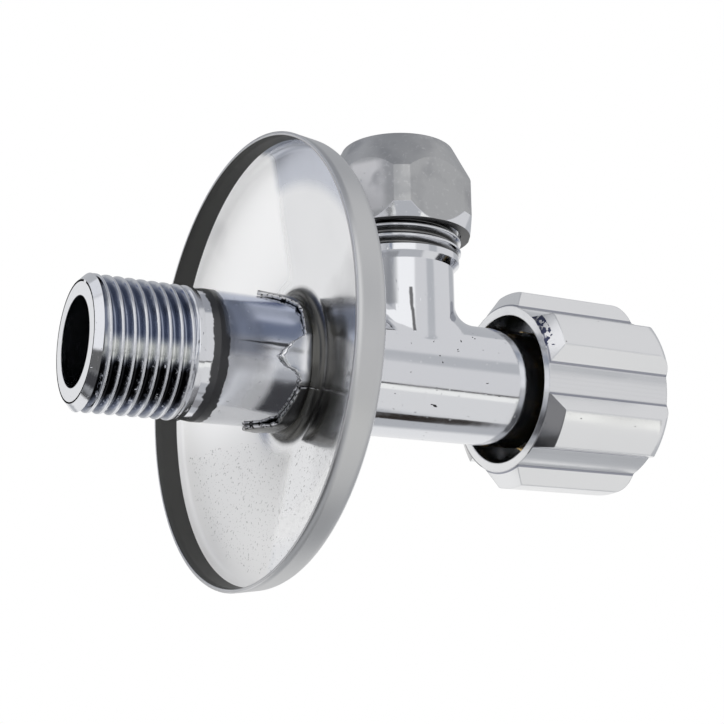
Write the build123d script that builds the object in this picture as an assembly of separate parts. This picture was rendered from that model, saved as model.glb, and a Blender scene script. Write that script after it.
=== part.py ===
from build123d import *
import math
import os

# Isolating valve, angle pattern: threaded inlet, compression outlet, turning knob and wall rosette.
# Millimetres. The origin lies on the inlet axis at the inner end of the inlet thread, where the
# mouth of the wall fitting comes. +X runs out of the wall to the knob, +Z up along the outlet.

# Fits
RUNNING_GAP = 0.05
PIN_GAP = 0.08
LOOSE_GAP = 0.15
SAME_PLACE = 0.01

# Inlet: half inch pipe thread, shown as a plain cylinder at the crests
PIPE_THREAD_R = 20.955 / 2
INLET_THREAD_LENGTH = 16.0
INLET_LAND = 0.8
NOSE_CHAMFER = 1.1
INLET_BORE_R = 7.0

# Tube under the rosette, barrel beyond it
TUBE_R = 10.4
RUNOUT_LENGTH = 2.4
RUNOUT_DEPTH = 0.3
TUBE_END = 22.0
BARREL_R = 10.1
BARREL_END = 63.0
BARREL_EDGE = 0.4

# Outlet branch
OUTLET_X = 40.0
NECK_R = 9.13
BRANCH_FILLET = 4.0
STUB_R = 10.1
STUB_BASE = 19.2
STUB_CHAMFER = 0.97
OUTLET_THREAD_BASE = 20.3
OUTLET_THREAD_TOP = 31.0
OUTLET_EDGE = 0.6
WATERWAY_R = 5.5
PIPE_R = 7.5
PIPE_GAP = 0.1
SOCKET_FLOOR = 20.0
OLIVE_SEAT_DEPTH = 1.1

# Seat and chamber
BORE_END = 26.0
ORIFICE_R = 4.75
SEAT_X = 32.5
SEAT_LIP_R = 6.2
SEAT_LIP_HEIGHT = 1.2
CHAMBER_R = 7.35

# Headwork
HEADWORK_THREAD_R = 16.662 / 2
HEADWORK_THREAD_LENGTH = 10.0
HEADWORK_BORE_LENGTH = 11.0
BONNET_NOSE_LENGTH = 3.0
BONNET_FLAT = 19.0
BONNET_TURNED_R = 10.6
BONNET_CHAMFER = 0.7
BONNET_CHAMFER_DEPTH = 1.3
BONNET_HEX_LENGTH = 5.0
BONNET_COLLAR_R = 7.0
BONNET_COLLAR_LENGTH = 3.0
SEAL_THICKNESS = 1.0
SEAL_OUTER_R = 9.9
BACK_SEAT_X = 62.0

# Valve disc that closes on the seat
WASHER_THICKNESS = 3.0
WASHER_R = 6.1
SEAT_GAP = 0.05
DISC_R = 6.0
DISC_THICKNESS = 2.5
DISC_PIN_R = 1.5
DISC_PIN_LENGTH = 2.0
DISC_STEM_R = 1.9
DISC_STEM_LENGTH = 7.5
RETAINER_R = 2.8
RETAINER_THICKNESS = 1.6

# Spindle
SPINDLE_TIP_R = 3.6
SPINDLE_TIP_LENGTH = 7.8
SPINDLE_THREAD_R = 5.0
SPINDLE_THREAD_LENGTH = 10.0
STEM_R = 3.75
STEM_SQUARE = 6.0
RING_SECTION = 1.4
RING_GAP = 0.02
RING_GROOVE_WIDTH = 1.8
RING_SPACING = 2.4
FIRST_RING = 2.0
KNOB_SCREW_R = 2.0
KNOB_SCREW_DEPTH = 7.0
KNOB_SCREW_LENGTH = 7.0
DISC_GAP = 0.1

# Knob
KNOB_LAP = 3.2
KNOB_LENGTH = 24.5
KNOB_LOBES = 6
KNOB_FLOOR_R = 14.4
KNOB_LOBE_R = 17.1
LOBE_TOP_HALF = 11.4
LOBE_BASE_HALF = 20.2
FIRST_LOBE = 33.9
LOBE_ROUND = 0.45
FOOT_ROUND = 0.7
MOUTH_R = 12.86
HOLLOW_END_R = 12.4
MOUTH_BEVEL = 1.85
FRONT_ROUND = 3.0
KNOB_WALL = 2.0
CAP_RECESS = 4.3
CAP_R = 9.0
BOSS_R = 7.0
BOSS_LENGTH = 5.0
RIB_THICKNESS = 1.2
RIB_LENGTH = 3.0
INSERT_R = 5.2
INSERT_FLANGE = 0.8
SQUARE_GAP = 0.05
CAP_CROWN = 0.5
CAP_EDGE = 1.5
CAP_THICKNESS = 1.0
CAP_SKIRT = 0.9
SCREW_HEAD_R = 3.5
SCREW_HEAD_HEIGHT = 1.6
SCREW_SLOT_WIDTH = 0.9
SCREW_SLOT_DEPTH = 0.8
SPRING_WASHER_THICKNESS = 0.8
SPRING_WASHER_R = 3.2

# Compression nut and olive
NUT_FLAT = 24.0
NUT_TURNED_R = 13.13
NUT_BASE = 24.2
NUT_BASE_R = 12.1
NUT_BASE_CONE = 2.3
NUT_CONE = 7.1
NUT_TOP = 39.84
NUT_TOP_R = 9.5
NUT_TOP_ROUND = 0.6
NUT_TURN = -117.0
NUT_THREAD_TOP = 32.4
OLIVE_LENGTH = 7.0
OLIVE_BELT_R = 8.65
OLIVE_END_R = 7.95
OLIVE_BELT_LENGTH = 2.6
OLIVE_GAP = 0.05
OLIVE_LIFT = 0.2

# Rosette: pressed sheet, a shallow dish with a torn collar that grips the tube. Angles of the
# petals and of the slit run from the outlet's side, +Z, towards -Y.
SHEET = 0.6
ROSETTE_RIM = 11.2
ROSETTE_RIM_R = 36.3
ROSETTE_CORNER_R = 35.7
ROSETTE_CORNER = 16.5
ROSETTE_ROUND = 1.7
DOME_X = 20.8
COLLAR_ROUND = 2.4
PETAL_ANGLES = (21.0, 98.0, 179.0, 270.0)
PETAL_TIP = 12.2
PETAL_SHOULDER = 15.9
PETAL_NOTCH = 17.2
PETAL_SHOULDER_ANGLE = 14.0
SLIT_WIDTH = 0.35
SLIT_ANGLE = 121.0

# Derived places
INLET_FACE = -INLET_THREAD_LENGTH
SOCKET_R = PIPE_R + PIPE_GAP
DISC_X = SEAT_X + SEAT_GAP + WASHER_THICKNESS
DISC_BACK = DISC_X + DISC_THICKNESS
SPINDLE_TIP = DISC_BACK + DISC_GAP
SPINDLE_THREAD_X = SPINDLE_TIP + SPINDLE_TIP_LENGTH
STEM_X = SPINDLE_THREAD_X + SPINDLE_THREAD_LENGTH
BONNET_FLANGE = BARREL_END + SEAL_THICKNESS
BONNET_HEX_END = BONNET_FLANGE + BONNET_HEX_LENGTH
BONNET_END = BONNET_HEX_END + BONNET_COLLAR_LENGTH
BONNET_THREAD_X = BARREL_END - HEADWORK_THREAD_LENGTH
BONNET_NOSE = BONNET_THREAD_X - BONNET_NOSE_LENGTH
KNOB_MOUTH = BARREL_END - KNOB_LAP
KNOB_FRONT = KNOB_MOUTH + KNOB_LENGTH
RECESS_FLOOR = KNOB_FRONT - CAP_RECESS
HOLLOW_END = RECESS_FLOOR - KNOB_WALL
BOSS_START = HOLLOW_END - BOSS_LENGTH
INSERT_WEB = RECESS_FLOOR - INSERT_FLANGE
SPINDLE_END = INSERT_WEB - RUNNING_GAP

INLET = Plane.XZ
OUTLET = Plane((OUTLET_X, 0, 0), x_dir=(0, 0, 1), z_dir=(0, 1, 0))


def corner_at(face, point):
    """The corner of a flat face that lies nearest to a point of its outline."""
    return face.vertices().sort_by_distance(Vector(point[0], point[1], 0))[0]


def turned(outline, plane=INLET, rounds=()):
    """A turned solid. The outline holds (along, radius) points, and rounds (point number, radius)."""
    face = make_face(Polyline(*outline, close=True).edges())
    for number, size in rounds:
        face = fillet(corner_at(face, outline[number]), size)
    return revolve(plane * face, Axis(plane.origin, plane.x_dir), 360)


def rod(start, end, radius, plane=INLET):
    """A plain cylinder along the plane's axis."""
    return turned([(start, 0), (end, 0), (end, radius), (start, radius)], plane)


def sleeve(start, end, inner, outer, plane=INLET):
    """A plain ring along the plane's axis."""
    return turned([(start, inner), (end, inner), (end, outer), (start, outer)], plane)


def hexagon(flat, start, end, turn, plane=INLET):
    """A hexagonal bar along the plane's axis, with one corner turned to the given angle."""
    across_corners = flat / math.cos(math.pi / 6)
    section = Plane(plane.origin + plane.x_dir * start, x_dir=plane.y_dir, z_dir=plane.x_dir)
    bar = RegularPolygon(across_corners / 2, 6, rotation=turn)
    return extrude(section * bar, end - start)


def body_outside():
    """Nose, thread, land, runout, tube and barrel, with the outlet stub filleted into the barrel."""
    runout_end = INLET_LAND + RUNOUT_LENGTH
    inlet = turned(
        [
            (INLET_FACE, 0),
            (INLET_FACE, PIPE_THREAD_R - NOSE_CHAMFER),
            (INLET_FACE + NOSE_CHAMFER, PIPE_THREAD_R),
            (INLET_LAND, PIPE_THREAD_R),
            (INLET_LAND, TUBE_R - RUNOUT_DEPTH),
            (runout_end, TUBE_R),
            (TUBE_END, TUBE_R),
            (TUBE_END + TUBE_R - BARREL_R, BARREL_R),
            (BARREL_END - BARREL_EDGE, BARREL_R),
            (BARREL_END, BARREL_R - BARREL_EDGE),
            (BARREL_END, 0),
        ]
    )
    neck = rod(0, STUB_BASE, NECK_R, OUTLET)
    joined = inlet + neck
    meeting = [e for e in joined.edges() if on_meeting_line(e)]
    joined = fillet(meeting, BRANCH_FILLET)
    stub = turned(
        [
            (STUB_BASE - STUB_CHAMFER, 0),
            (STUB_BASE - STUB_CHAMFER, NECK_R),
            (STUB_BASE, STUB_R),
            (OUTLET_THREAD_BASE, STUB_R),
            (OUTLET_THREAD_BASE, PIPE_THREAD_R),
            (OUTLET_THREAD_TOP - OUTLET_EDGE, PIPE_THREAD_R),
            (OUTLET_THREAD_TOP, PIPE_THREAD_R - OUTLET_EDGE),
            (OUTLET_THREAD_TOP, 0),
        ],
        OUTLET,
    )
    return joined + stub


def on_meeting_line(edge):
    """True for the curve where the neck leaves the barrel."""
    middle = edge @ 0.5
    off_outlet = math.hypot(middle.X - OUTLET_X, middle.Y)
    off_inlet = math.hypot(middle.Y, middle.Z)
    return abs(off_outlet - NECK_R) < SAME_PLACE and abs(off_inlet - BARREL_R) < SAME_PLACE


def body_inside():
    """Inlet bore, orifice with its raised seat, chamber, headwork bore, waterway and pipe socket."""
    headwork_x = BARREL_END - HEADWORK_BORE_LENGTH
    inlet = turned(
        [
            (INLET_FACE, 0),
            (INLET_FACE, INLET_BORE_R),
            (BORE_END, INLET_BORE_R),
            (BORE_END + INLET_BORE_R - ORIFICE_R, ORIFICE_R),
            (SEAT_X, ORIFICE_R),
            (SEAT_X, 0),
        ]
    )
    chamber = turned(
        [
            (SEAT_X, 0),
            (SEAT_X, SEAT_LIP_R),
            (SEAT_X - SEAT_LIP_HEIGHT, SEAT_LIP_R),
            (SEAT_X - SEAT_LIP_HEIGHT, CHAMBER_R),
            (headwork_x, CHAMBER_R),
            (headwork_x, HEADWORK_THREAD_R + RUNNING_GAP),
            (BARREL_END, HEADWORK_THREAD_R + RUNNING_GAP),
            (BARREL_END, 0),
        ]
    )
    outlet = turned(
        [
            (0, 0),
            (0, WATERWAY_R),
            (SOCKET_FLOOR, WATERWAY_R),
            (SOCKET_FLOOR, SOCKET_R),
            (OUTLET_THREAD_TOP - OLIVE_SEAT_DEPTH, SOCKET_R),
            (OUTLET_THREAD_TOP, SOCKET_R + OLIVE_SEAT_DEPTH),
            (OUTLET_THREAD_TOP, 0),
        ],
        OUTLET,
    )
    return inlet + chamber + outlet


def valve_body():
    """Brass body in one piece."""
    return body_outside() - body_inside()


def wall_rosette():
    """Pressed dish: skirt, rounded corner, shallow dome and a collar torn into pointed petals."""
    half = SHEET / 2
    grip_r = TUBE_R + RUNNING_GAP
    middle_line = FilletPolyline(
        (ROSETTE_RIM, ROSETTE_RIM_R - half),
        (ROSETTE_CORNER - half, ROSETTE_CORNER_R - half),
        (DOME_X - half, grip_r + half),
        (PETAL_TIP, grip_r + half),
        radius=[ROSETTE_ROUND, COLLAR_ROUND],
    )
    dish = revolve(INLET * trace(middle_line, SHEET), Axis.X, 360)
    for petal, following in zip(PETAL_ANGLES, PETAL_ANGLES[1:] + PETAL_ANGLES[:1]):
        half_gap = (following - petal) % 360 / 2
        dish -= Rot(X=petal + half_gap) * petal_notch(grip_r, half_gap)
    return dish - collar_slit(grip_r)


def petal_notch(grip_r, half_gap):
    """The gap between two petals, seen along its own radius: a wide hollow with steep ends."""
    half = math.radians(half_gap)
    shoulder = half - math.radians(PETAL_SHOULDER_ANGLE)
    reach = grip_r + SHEET
    tip = reach * math.sin(half)
    wide = reach * math.sin(shoulder)
    beyond = PETAL_TIP - 1
    edge = ThreePointArc((PETAL_SHOULDER, wide), (PETAL_NOTCH, 0), (PETAL_SHOULDER, -wide))
    sides = Polyline((PETAL_SHOULDER, -wide), (PETAL_TIP, -tip), (beyond, -tip), (beyond, tip))
    close = Polyline((beyond, tip), (PETAL_TIP, tip), (PETAL_SHOULDER, wide))
    face = make_face(edge.edges() + sides.edges() + close.edges())
    return extrude(Plane.XY * face, COLLAR_ROUND + reach)


def collar_slit(grip_r):
    """The crack that runs from a notch up into the collar's fold."""
    length = DOME_X - COLLAR_ROUND / 2 - PETAL_TIP
    height = grip_r + SHEET + COLLAR_ROUND / 2
    cut = Box(length, SLIT_WIDTH, height, align=(Align.MIN, Align.CENTER, Align.MIN))
    return Rot(X=SLIT_ANGLE) * Pos(X=PETAL_TIP) * cut


def compression_nut():
    """Hexagon nut with turned corners, long top cone, base cone, thread bore and olive cone."""
    cone_top = NUT_TOP - NUT_CONE
    envelope = turned(
        [
            (NUT_BASE, 0),
            (NUT_BASE, NUT_BASE_R),
            (NUT_BASE + NUT_BASE_CONE, NUT_TURNED_R),
            (cone_top, NUT_TURNED_R),
            (NUT_TOP, NUT_TOP_R),
            (NUT_TOP, 0),
        ],
        OUTLET,
        rounds=[(4, NUT_TOP_ROUND)],
    )
    bar = hexagon(NUT_FLAT, NUT_BASE, NUT_TOP, NUT_TURN, OUTLET)
    room_r = OLIVE_BELT_R + LOOSE_GAP
    cone_end = OUTLET_THREAD_TOP + OLIVE_LENGTH
    inside = turned(
        [
            (NUT_BASE, 0),
            (NUT_BASE, PIPE_THREAD_R + RUNNING_GAP),
            (NUT_THREAD_TOP, PIPE_THREAD_R + RUNNING_GAP),
            (NUT_THREAD_TOP + PIPE_THREAD_R - room_r, room_r),
            (cone_end - room_r + SOCKET_R, room_r),
            (cone_end, SOCKET_R),
            (NUT_TOP, SOCKET_R),
            (NUT_TOP, 0),
        ],
        OUTLET,
    )
    return (envelope & bar) - inside


def compression_olive():
    """Ring with a plain belt and two tapered ends, resting in the socket's mouth."""
    start = OUTLET_THREAD_TOP - OLIVE_SEAT_DEPTH + OLIVE_LIFT + OLIVE_END_R - SOCKET_R
    middle = start + OLIVE_LENGTH / 2
    half_belt = OLIVE_BELT_LENGTH / 2
    return turned(
        [
            (start, PIPE_R + OLIVE_GAP),
            (start + OLIVE_LENGTH, PIPE_R + OLIVE_GAP),
            (start + OLIVE_LENGTH, OLIVE_END_R),
            (middle + half_belt, OLIVE_BELT_R),
            (middle - half_belt, OLIVE_BELT_R),
            (start, OLIVE_END_R),
        ],
        OUTLET,
    )


def headwork_bonnet():
    """Threaded plug with hexagon and collar that carries the spindle."""
    blank = turned(
        [
            (BONNET_NOSE, 0),
            (BONNET_NOSE, CHAMBER_R - LOOSE_GAP),
            (BONNET_THREAD_X, CHAMBER_R - LOOSE_GAP),
            (BONNET_THREAD_X, HEADWORK_THREAD_R),
            (BONNET_FLANGE, HEADWORK_THREAD_R),
            (BONNET_FLANGE, 0),
        ]
    )
    turned_blank = turned(
        [
            (BONNET_FLANGE, 0),
            (BONNET_FLANGE, BONNET_TURNED_R),
            (BONNET_HEX_END - BONNET_CHAMFER, BONNET_TURNED_R),
            (BONNET_HEX_END, BONNET_TURNED_R - BONNET_CHAMFER_DEPTH),
            (BONNET_HEX_END, 0),
        ]
    )
    flange = turned_blank & hexagon(BONNET_FLAT, BONNET_FLANGE, BONNET_HEX_END, 0)
    collar = rod(BONNET_HEX_END, BONNET_END, BONNET_COLLAR_R)
    inside = rod(BONNET_NOSE, BACK_SEAT_X, SPINDLE_THREAD_R + RUNNING_GAP)
    inside += rod(BACK_SEAT_X, BONNET_END, STEM_R + RUNNING_GAP)
    return blank + flange + collar - inside


def bonnet_seal_ring():
    """Flat sealing ring between the barrel's end face and the bonnet's flange."""
    return sleeve(BARREL_END, BONNET_FLANGE, HEADWORK_THREAD_R + RUNNING_GAP, SEAL_OUTER_R)


def ring_places():
    """Middle of each spindle O-ring along the axis."""
    first = BACK_SEAT_X + FIRST_RING
    return [first, first + RING_SPACING]


def spindle():
    """Rising spindle: tip that holds the disc's stem, thread, grooved stem and square end."""
    tip = rod(SPINDLE_TIP, SPINDLE_THREAD_X, SPINDLE_TIP_R)
    thread = rod(SPINDLE_THREAD_X, STEM_X, SPINDLE_THREAD_R)
    stem = rod(STEM_X, BOSS_START, STEM_R)
    square_section = Plane.YZ.offset(BOSS_START) * Rectangle(STEM_SQUARE, STEM_SQUARE)
    square = extrude(square_section, SPINDLE_END - BOSS_START)
    square &= rod(BOSS_START, SPINDLE_END, STEM_R)
    shaft = tip + thread + stem + square
    shaft -= rod(SPINDLE_TIP, SPINDLE_TIP + DISC_STEM_LENGTH + DISC_GAP, DISC_STEM_R + PIN_GAP)
    shaft -= rod(SPINDLE_END - KNOB_SCREW_DEPTH, SPINDLE_END, KNOB_SCREW_R + RUNNING_GAP)
    groove_r = STEM_R + RUNNING_GAP - RING_SECTION - RING_GAP
    for place in ring_places():
        half = RING_GROOVE_WIDTH / 2
        shaft -= sleeve(place - half, place + half, groove_r, 2 * STEM_R)
    return shaft


def spindle_o_rings():
    """Two O-rings squeezed in the stem's grooves, with flattened flanks, each a solid of its own."""
    middle_r = STEM_R + RUNNING_GAP - (RING_SECTION + RING_GAP) / 2
    half = RING_SECTION / 2
    flat = half * math.tan(math.pi / 8)
    section = [(-half, -flat), (-flat, -half), (flat, -half), (half, -flat)]
    section += [(half, flat), (flat, half), (-flat, half), (-half, flat)]
    return [turned([(place + x, middle_r + r) for x, r in section]) for place in ring_places()]


def valve_disc():
    """Brass disc that carries the washer, with its stem in the spindle and its retaining pin."""
    pin_end = SEAT_X + SEAT_GAP - DISC_PIN_LENGTH
    disc = rod(DISC_X, DISC_BACK, DISC_R)
    stem = rod(DISC_BACK, DISC_BACK + DISC_STEM_LENGTH, DISC_STEM_R)
    return disc + stem + rod(pin_end, DISC_X, DISC_PIN_R)


def seat_washer():
    """Rubber washer that closes on the seat."""
    return sleeve(DISC_X - WASHER_THICKNESS, DISC_X, DISC_PIN_R, WASHER_R)


def washer_retainer():
    """Small round nut on the disc's pin that holds the washer."""
    face = DISC_X - WASHER_THICKNESS
    return turned(
        [
            (face - RETAINER_THICKNESS, DISC_PIN_R),
            (face, DISC_PIN_R),
            (face, RETAINER_R),
            (face - RETAINER_THICKNESS / 2, RETAINER_R),
            (face - RETAINER_THICKNESS, RETAINER_R - RETAINER_THICKNESS / 2),
        ]
    )


def lobe_outline():
    """One knob lobe in section: crowned top, sloping sides, foot sunk into the floor circle."""
    top = math.radians(LOBE_TOP_HALF)
    base = math.radians(LOBE_BASE_HALF)
    left = (KNOB_LOBE_R * math.cos(top), KNOB_LOBE_R * math.sin(top))
    foot = (KNOB_FLOOR_R * math.cos(base), KNOB_FLOOR_R * math.sin(base))
    crown = ThreePointArc(left, (KNOB_LOBE_R, 0), (left[0], -left[1]))
    rest = Polyline((left[0], -left[1]), (foot[0], -foot[1]), (0, 0), foot, left)
    return make_face(crown.edges() + rest.edges())


def knob_section():
    """Floor circle with its lobes, rounded where their sides meet the tops and the floor."""
    section = Circle(KNOB_FLOOR_R)
    for number in range(KNOB_LOBES):
        section += Rot(Z=FIRST_LOBE + number * 360 / KNOB_LOBES) * lobe_outline()
    section = fillet(corners_at_radius(section, KNOB_LOBE_R), LOBE_ROUND)
    return fillet(corners_at_radius(section, KNOB_FLOOR_R), FOOT_ROUND)


def corners_at_radius(section, radius):
    """Corners of a section at a distance from its middle."""
    return [v for v in section.vertices() if abs(math.hypot(v.X, v.Y) - radius) < SAME_PLACE]


def knob_outside():
    """Lobed bar cut by a bevel at the mouth and a round at the front."""
    section = knob_section()
    bar = extrude(Plane.YZ.offset(KNOB_MOUTH) * section, KNOB_FRONT - KNOB_MOUTH)
    envelope = turned(
        [
            (KNOB_MOUTH, 0),
            (KNOB_MOUTH, KNOB_FLOOR_R),
            (KNOB_MOUTH + MOUTH_BEVEL, KNOB_LOBE_R),
            (KNOB_FRONT, KNOB_LOBE_R),
            (KNOB_FRONT, 0),
        ],
        rounds=[(3, FRONT_ROUND)],
    )
    return bar & envelope


def knob():
    """Fluted shell over the headwork, with boss, ribs and a front recess for the cap."""
    hollow = turned(
        [
            (KNOB_MOUTH, 0),
            (KNOB_MOUTH, MOUTH_R),
            (HOLLOW_END, HOLLOW_END_R),
            (HOLLOW_END, 0),
        ]
    )
    boss = rod(BOSS_START, HOLLOW_END, BOSS_R)
    ribs = [rib(number * 360 / KNOB_LOBES) for number in range(KNOB_LOBES)]
    shell = knob_outside() - (hollow - boss - ribs)
    shell -= rod(RECESS_FLOOR, KNOB_FRONT, CAP_R)
    return shell - rod(BOSS_START, RECESS_FLOOR, INSERT_R)


def rib(angle):
    """Stiffening rib between boss and shell."""
    length = MOUTH_R - BOSS_R / 2
    web = Box(RIB_LENGTH, RIB_THICKNESS, length, align=(Align.MAX, Align.CENTER, Align.MIN))
    return Rot(X=angle) * Pos(HOLLOW_END, 0, BOSS_R / 2) * web


def knob_insert():
    """Brass bush in the knob's boss, with a square socket and a web for the screw."""
    bush = rod(BOSS_START, RECESS_FLOOR, INSERT_R)
    flat = STEM_SQUARE + 2 * SQUARE_GAP
    socket = Plane.YZ.offset(BOSS_START) * Rectangle(flat, flat)
    bush -= extrude(socket, INSERT_WEB - BOSS_START)
    return bush - rod(INSERT_WEB, RECESS_FLOOR, KNOB_SCREW_R + LOOSE_GAP)


def knob_screw():
    """Slotted cheese-head screw that clamps the knob to the spindle."""
    seat = RECESS_FLOOR + SPRING_WASHER_THICKNESS
    screw = rod(seat - KNOB_SCREW_LENGTH, seat, KNOB_SCREW_R)
    screw += rod(seat, seat + SCREW_HEAD_HEIGHT, SCREW_HEAD_R)
    floor = seat + SCREW_HEAD_HEIGHT - SCREW_SLOT_DEPTH
    lie = (Align.MIN, Align.CENTER, Align.CENTER)
    slot = Box(SCREW_HEAD_HEIGHT, SCREW_SLOT_WIDTH, 3 * SCREW_HEAD_R, align=lie)
    return screw - Pos(X=floor) * slot


def screw_washer():
    """Washer under the screw's head."""
    end = RECESS_FLOOR + SPRING_WASHER_THICKNESS
    return sleeve(RECESS_FLOOR, end, KNOB_SCREW_R + LOOSE_GAP, SPRING_WASHER_R)


def knob_cap():
    """Plain crowned cap that snaps into the knob's front recess."""
    rim_r = CAP_R - RUNNING_GAP
    inner_r = rim_r - CAP_SKIRT
    inside = KNOB_FRONT - CAP_THICKNESS
    top = KNOB_FRONT + CAP_CROWN
    return turned(
        [
            (RECESS_FLOOR, inner_r),
            (inside, inner_r),
            (inside, 0),
            (top, 0),
            (top, rim_r - CAP_EDGE),
            (KNOB_FRONT, rim_r),
            (RECESS_FLOOR, rim_r),
        ],
        rounds=[(4, 2 * CAP_EDGE)],
    )


def write(name, solid):
    """Write one node as a STEP file."""
    export_step(solid, f"parts/{name}.step")


def main():
    os.makedirs("parts", exist_ok=True)
    write("valve_body", valve_body())
    write("wall_rosette", wall_rosette())
    write("compression_nut", compression_nut())
    write("compression_olive", compression_olive())
    write("headwork_bonnet", headwork_bonnet())
    write("bonnet_seal_ring", bonnet_seal_ring())
    write("spindle", spindle())
    write("spindle_o_rings", Compound(children=spindle_o_rings()))
    write("valve_disc", valve_disc())
    write("seat_washer", seat_washer())
    write("washer_retainer", washer_retainer())
    write("knob", knob())
    write("knob_insert", knob_insert())
    write("knob_screw", knob_screw())
    write("screw_washer", screw_washer())
    write("knob_cap", knob_cap())


main()
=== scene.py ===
# %% [markdown]
# # An isolating valve in chromed brass
# The valve screws into a wall fitting, carries a dished rosette that hides the hole, and sends
# the water up through a side outlet. This script dresses its CAD solids with threads, a torn
# sheet collar and worn chrome with painted shade and painted reflections. Everything is in
# metres, in the frame of the CAD: the inlet axis is X, the outlet axis points along +Z. First
# come the frame, a unit and the shared sizes.

# %% The frame, a unit and shared sizes
import math

import bmesh
import bpy
from mathutils import Matrix, Vector, noise


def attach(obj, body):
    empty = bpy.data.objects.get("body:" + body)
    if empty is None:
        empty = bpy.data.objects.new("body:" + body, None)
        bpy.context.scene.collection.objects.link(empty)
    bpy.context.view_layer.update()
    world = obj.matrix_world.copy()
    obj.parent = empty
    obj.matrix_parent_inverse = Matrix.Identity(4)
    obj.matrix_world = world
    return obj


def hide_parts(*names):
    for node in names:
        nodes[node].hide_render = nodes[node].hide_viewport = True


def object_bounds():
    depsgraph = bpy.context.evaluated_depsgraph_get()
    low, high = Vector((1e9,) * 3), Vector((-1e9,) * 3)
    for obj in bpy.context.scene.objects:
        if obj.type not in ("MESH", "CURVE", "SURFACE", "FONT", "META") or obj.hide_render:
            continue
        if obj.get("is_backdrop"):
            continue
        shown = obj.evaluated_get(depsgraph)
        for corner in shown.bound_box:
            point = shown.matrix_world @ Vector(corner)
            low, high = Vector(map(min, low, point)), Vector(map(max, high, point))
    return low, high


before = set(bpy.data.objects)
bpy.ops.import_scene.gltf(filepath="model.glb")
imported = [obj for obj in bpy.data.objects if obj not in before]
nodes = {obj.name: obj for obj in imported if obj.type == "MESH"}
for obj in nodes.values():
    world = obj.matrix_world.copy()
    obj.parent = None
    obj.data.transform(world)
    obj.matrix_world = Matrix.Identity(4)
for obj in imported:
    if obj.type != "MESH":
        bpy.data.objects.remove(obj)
cad_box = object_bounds()

MM = 0.001
PITCH = 1.814 * MM
CREST_R = 10.4775 * MM
ROOT_R = 9.3155 * MM
OUTLET_X = 40 * MM
CENTRE = Vector((30, 0, 0)) * MM


def say(name, thing):
    """Print a measured or made value under a short name."""
    print(f"[valve] {name}: {thing}")


low, high = cad_box
say("CAD box in mm", [round(v / MM, 1) for v in (*low, *high)])

# %% [markdown]
# # The camera
# A product picture of this kind is taken with a long lens, from a short distance and a little
# from below. The camera is placed by its position and by three angles instead of a target,
# because a fitted view is known that way: the turn about the upright, the tilt and the roll.

# %% Camera
CAMERA_PLACE = Vector((-78.2, -204.85, -55.27)) * MM
CAMERA_TURN = -28.388
CAMERA_TILT = -13.803
CAMERA_ROLL = -0.775
LENS = 72.5
SENSOR = 36


def camera_axes(turn, tilt, roll):
    """Right, up and backward directions of a camera turned, tilted and rolled in degrees."""
    turn, tilt, roll = (math.radians(v) for v in (turn, tilt, roll))
    flat = math.cos(tilt)
    back = Vector((math.sin(turn) * flat, -math.cos(turn) * flat, math.sin(tilt)))
    level = Vector((0, 0, 1)).cross(back).normalized()
    rise = back.cross(level)
    right = level * math.cos(roll) + rise * math.sin(roll)
    up = rise * math.cos(roll) - level * math.sin(roll)
    return right, up, back


lens_data = bpy.data.cameras.new("product_camera")
lens_data.lens = LENS
lens_data.sensor_width = SENSOR
lens_data.clip_start = 10 * MM
camera = bpy.data.objects.new("product_camera", lens_data)
facing_out = Matrix(camera_axes(CAMERA_TURN, CAMERA_TILT, CAMERA_ROLL)).transposed().to_4x4()
camera.matrix_world = Matrix.Translation(CAMERA_PLACE) @ facing_out
bpy.context.scene.collection.objects.link(camera)
bpy.context.scene.camera = camera
say("camera distance in mm", round((CAMERA_PLACE - CENTRE).length / MM))

# %% [markdown]
# # Helpers for node trees
# The light, the tent and the finishes are all built from the same few nodes: sums and products,
# noise, and a value brought from one range to another. A helper for each of these adds the node,
# wires its inputs and gives back the socket with the result, so that a material reads as a sum.

# %% Node helpers


def wired(tree, kind, operation, inputs):
    """A math node with its inputs set to numbers or linked to sockets."""
    node = tree.nodes.new(kind)
    node.operation = operation
    for socket, value in zip(node.inputs, inputs):
        if isinstance(value, bpy.types.NodeSocket):
            tree.links.new(value, socket)
        else:
            socket.default_value = value
    return node


def number(tree, operation, *inputs):
    """Result of a math node on numbers."""
    return wired(tree, "ShaderNodeMath", operation, inputs).outputs[0]


def vector(tree, operation, *inputs):
    """Result of a math node on vectors that gives a vector."""
    return wired(tree, "ShaderNodeVectorMath", operation, inputs).outputs["Vector"]


def measure(tree, operation, *inputs):
    """Result of a math node on vectors that gives a number."""
    return wired(tree, "ShaderNodeVectorMath", operation, inputs).outputs["Value"]


def ranged(tree, value, start, end, low=0, high=1, shape="LINEAR"):
    """A value brought from start and end to low and high, and held beyond them."""
    ramp = tree.nodes.new("ShaderNodeMapRange")
    ramp.interpolation_type = shape
    for name, amount in (("From Min", start), ("From Max", end), ("To Min", low), ("To Max", high)):
        ramp.inputs[name].default_value = amount
    tree.links.new(value, ramp.inputs["Value"])
    return ramp.outputs[0]


def fading(tree, off, half, soft):
    """One where a distance is under half, zero beyond it, and smooth over a soft edge."""
    return ranged(tree, off, half - soft / 2, half + soft / 2, 1, 0, "SMOOTHSTEP")


def cloud(tree, place, scale, detail):
    """Value of a noise at a place."""
    grain = tree.nodes.new("ShaderNodeTexNoise")
    grain.inputs["Scale"].default_value = scale
    grain.inputs["Detail"].default_value = detail
    tree.links.new(place, grain.inputs["Vector"])
    return grain.outputs[0]


# %% [markdown]
# # The studio
# Chrome has almost no colour of its own: it shows the room. A white room alone would leave the
# valve flat, so grey and dark cards stand around it, as in a photographer's tent, where only the
# metal sees them. The world is white for the lens and for reflections, and a little softer for
# diffuse light, which the lamps make up for.

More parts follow.
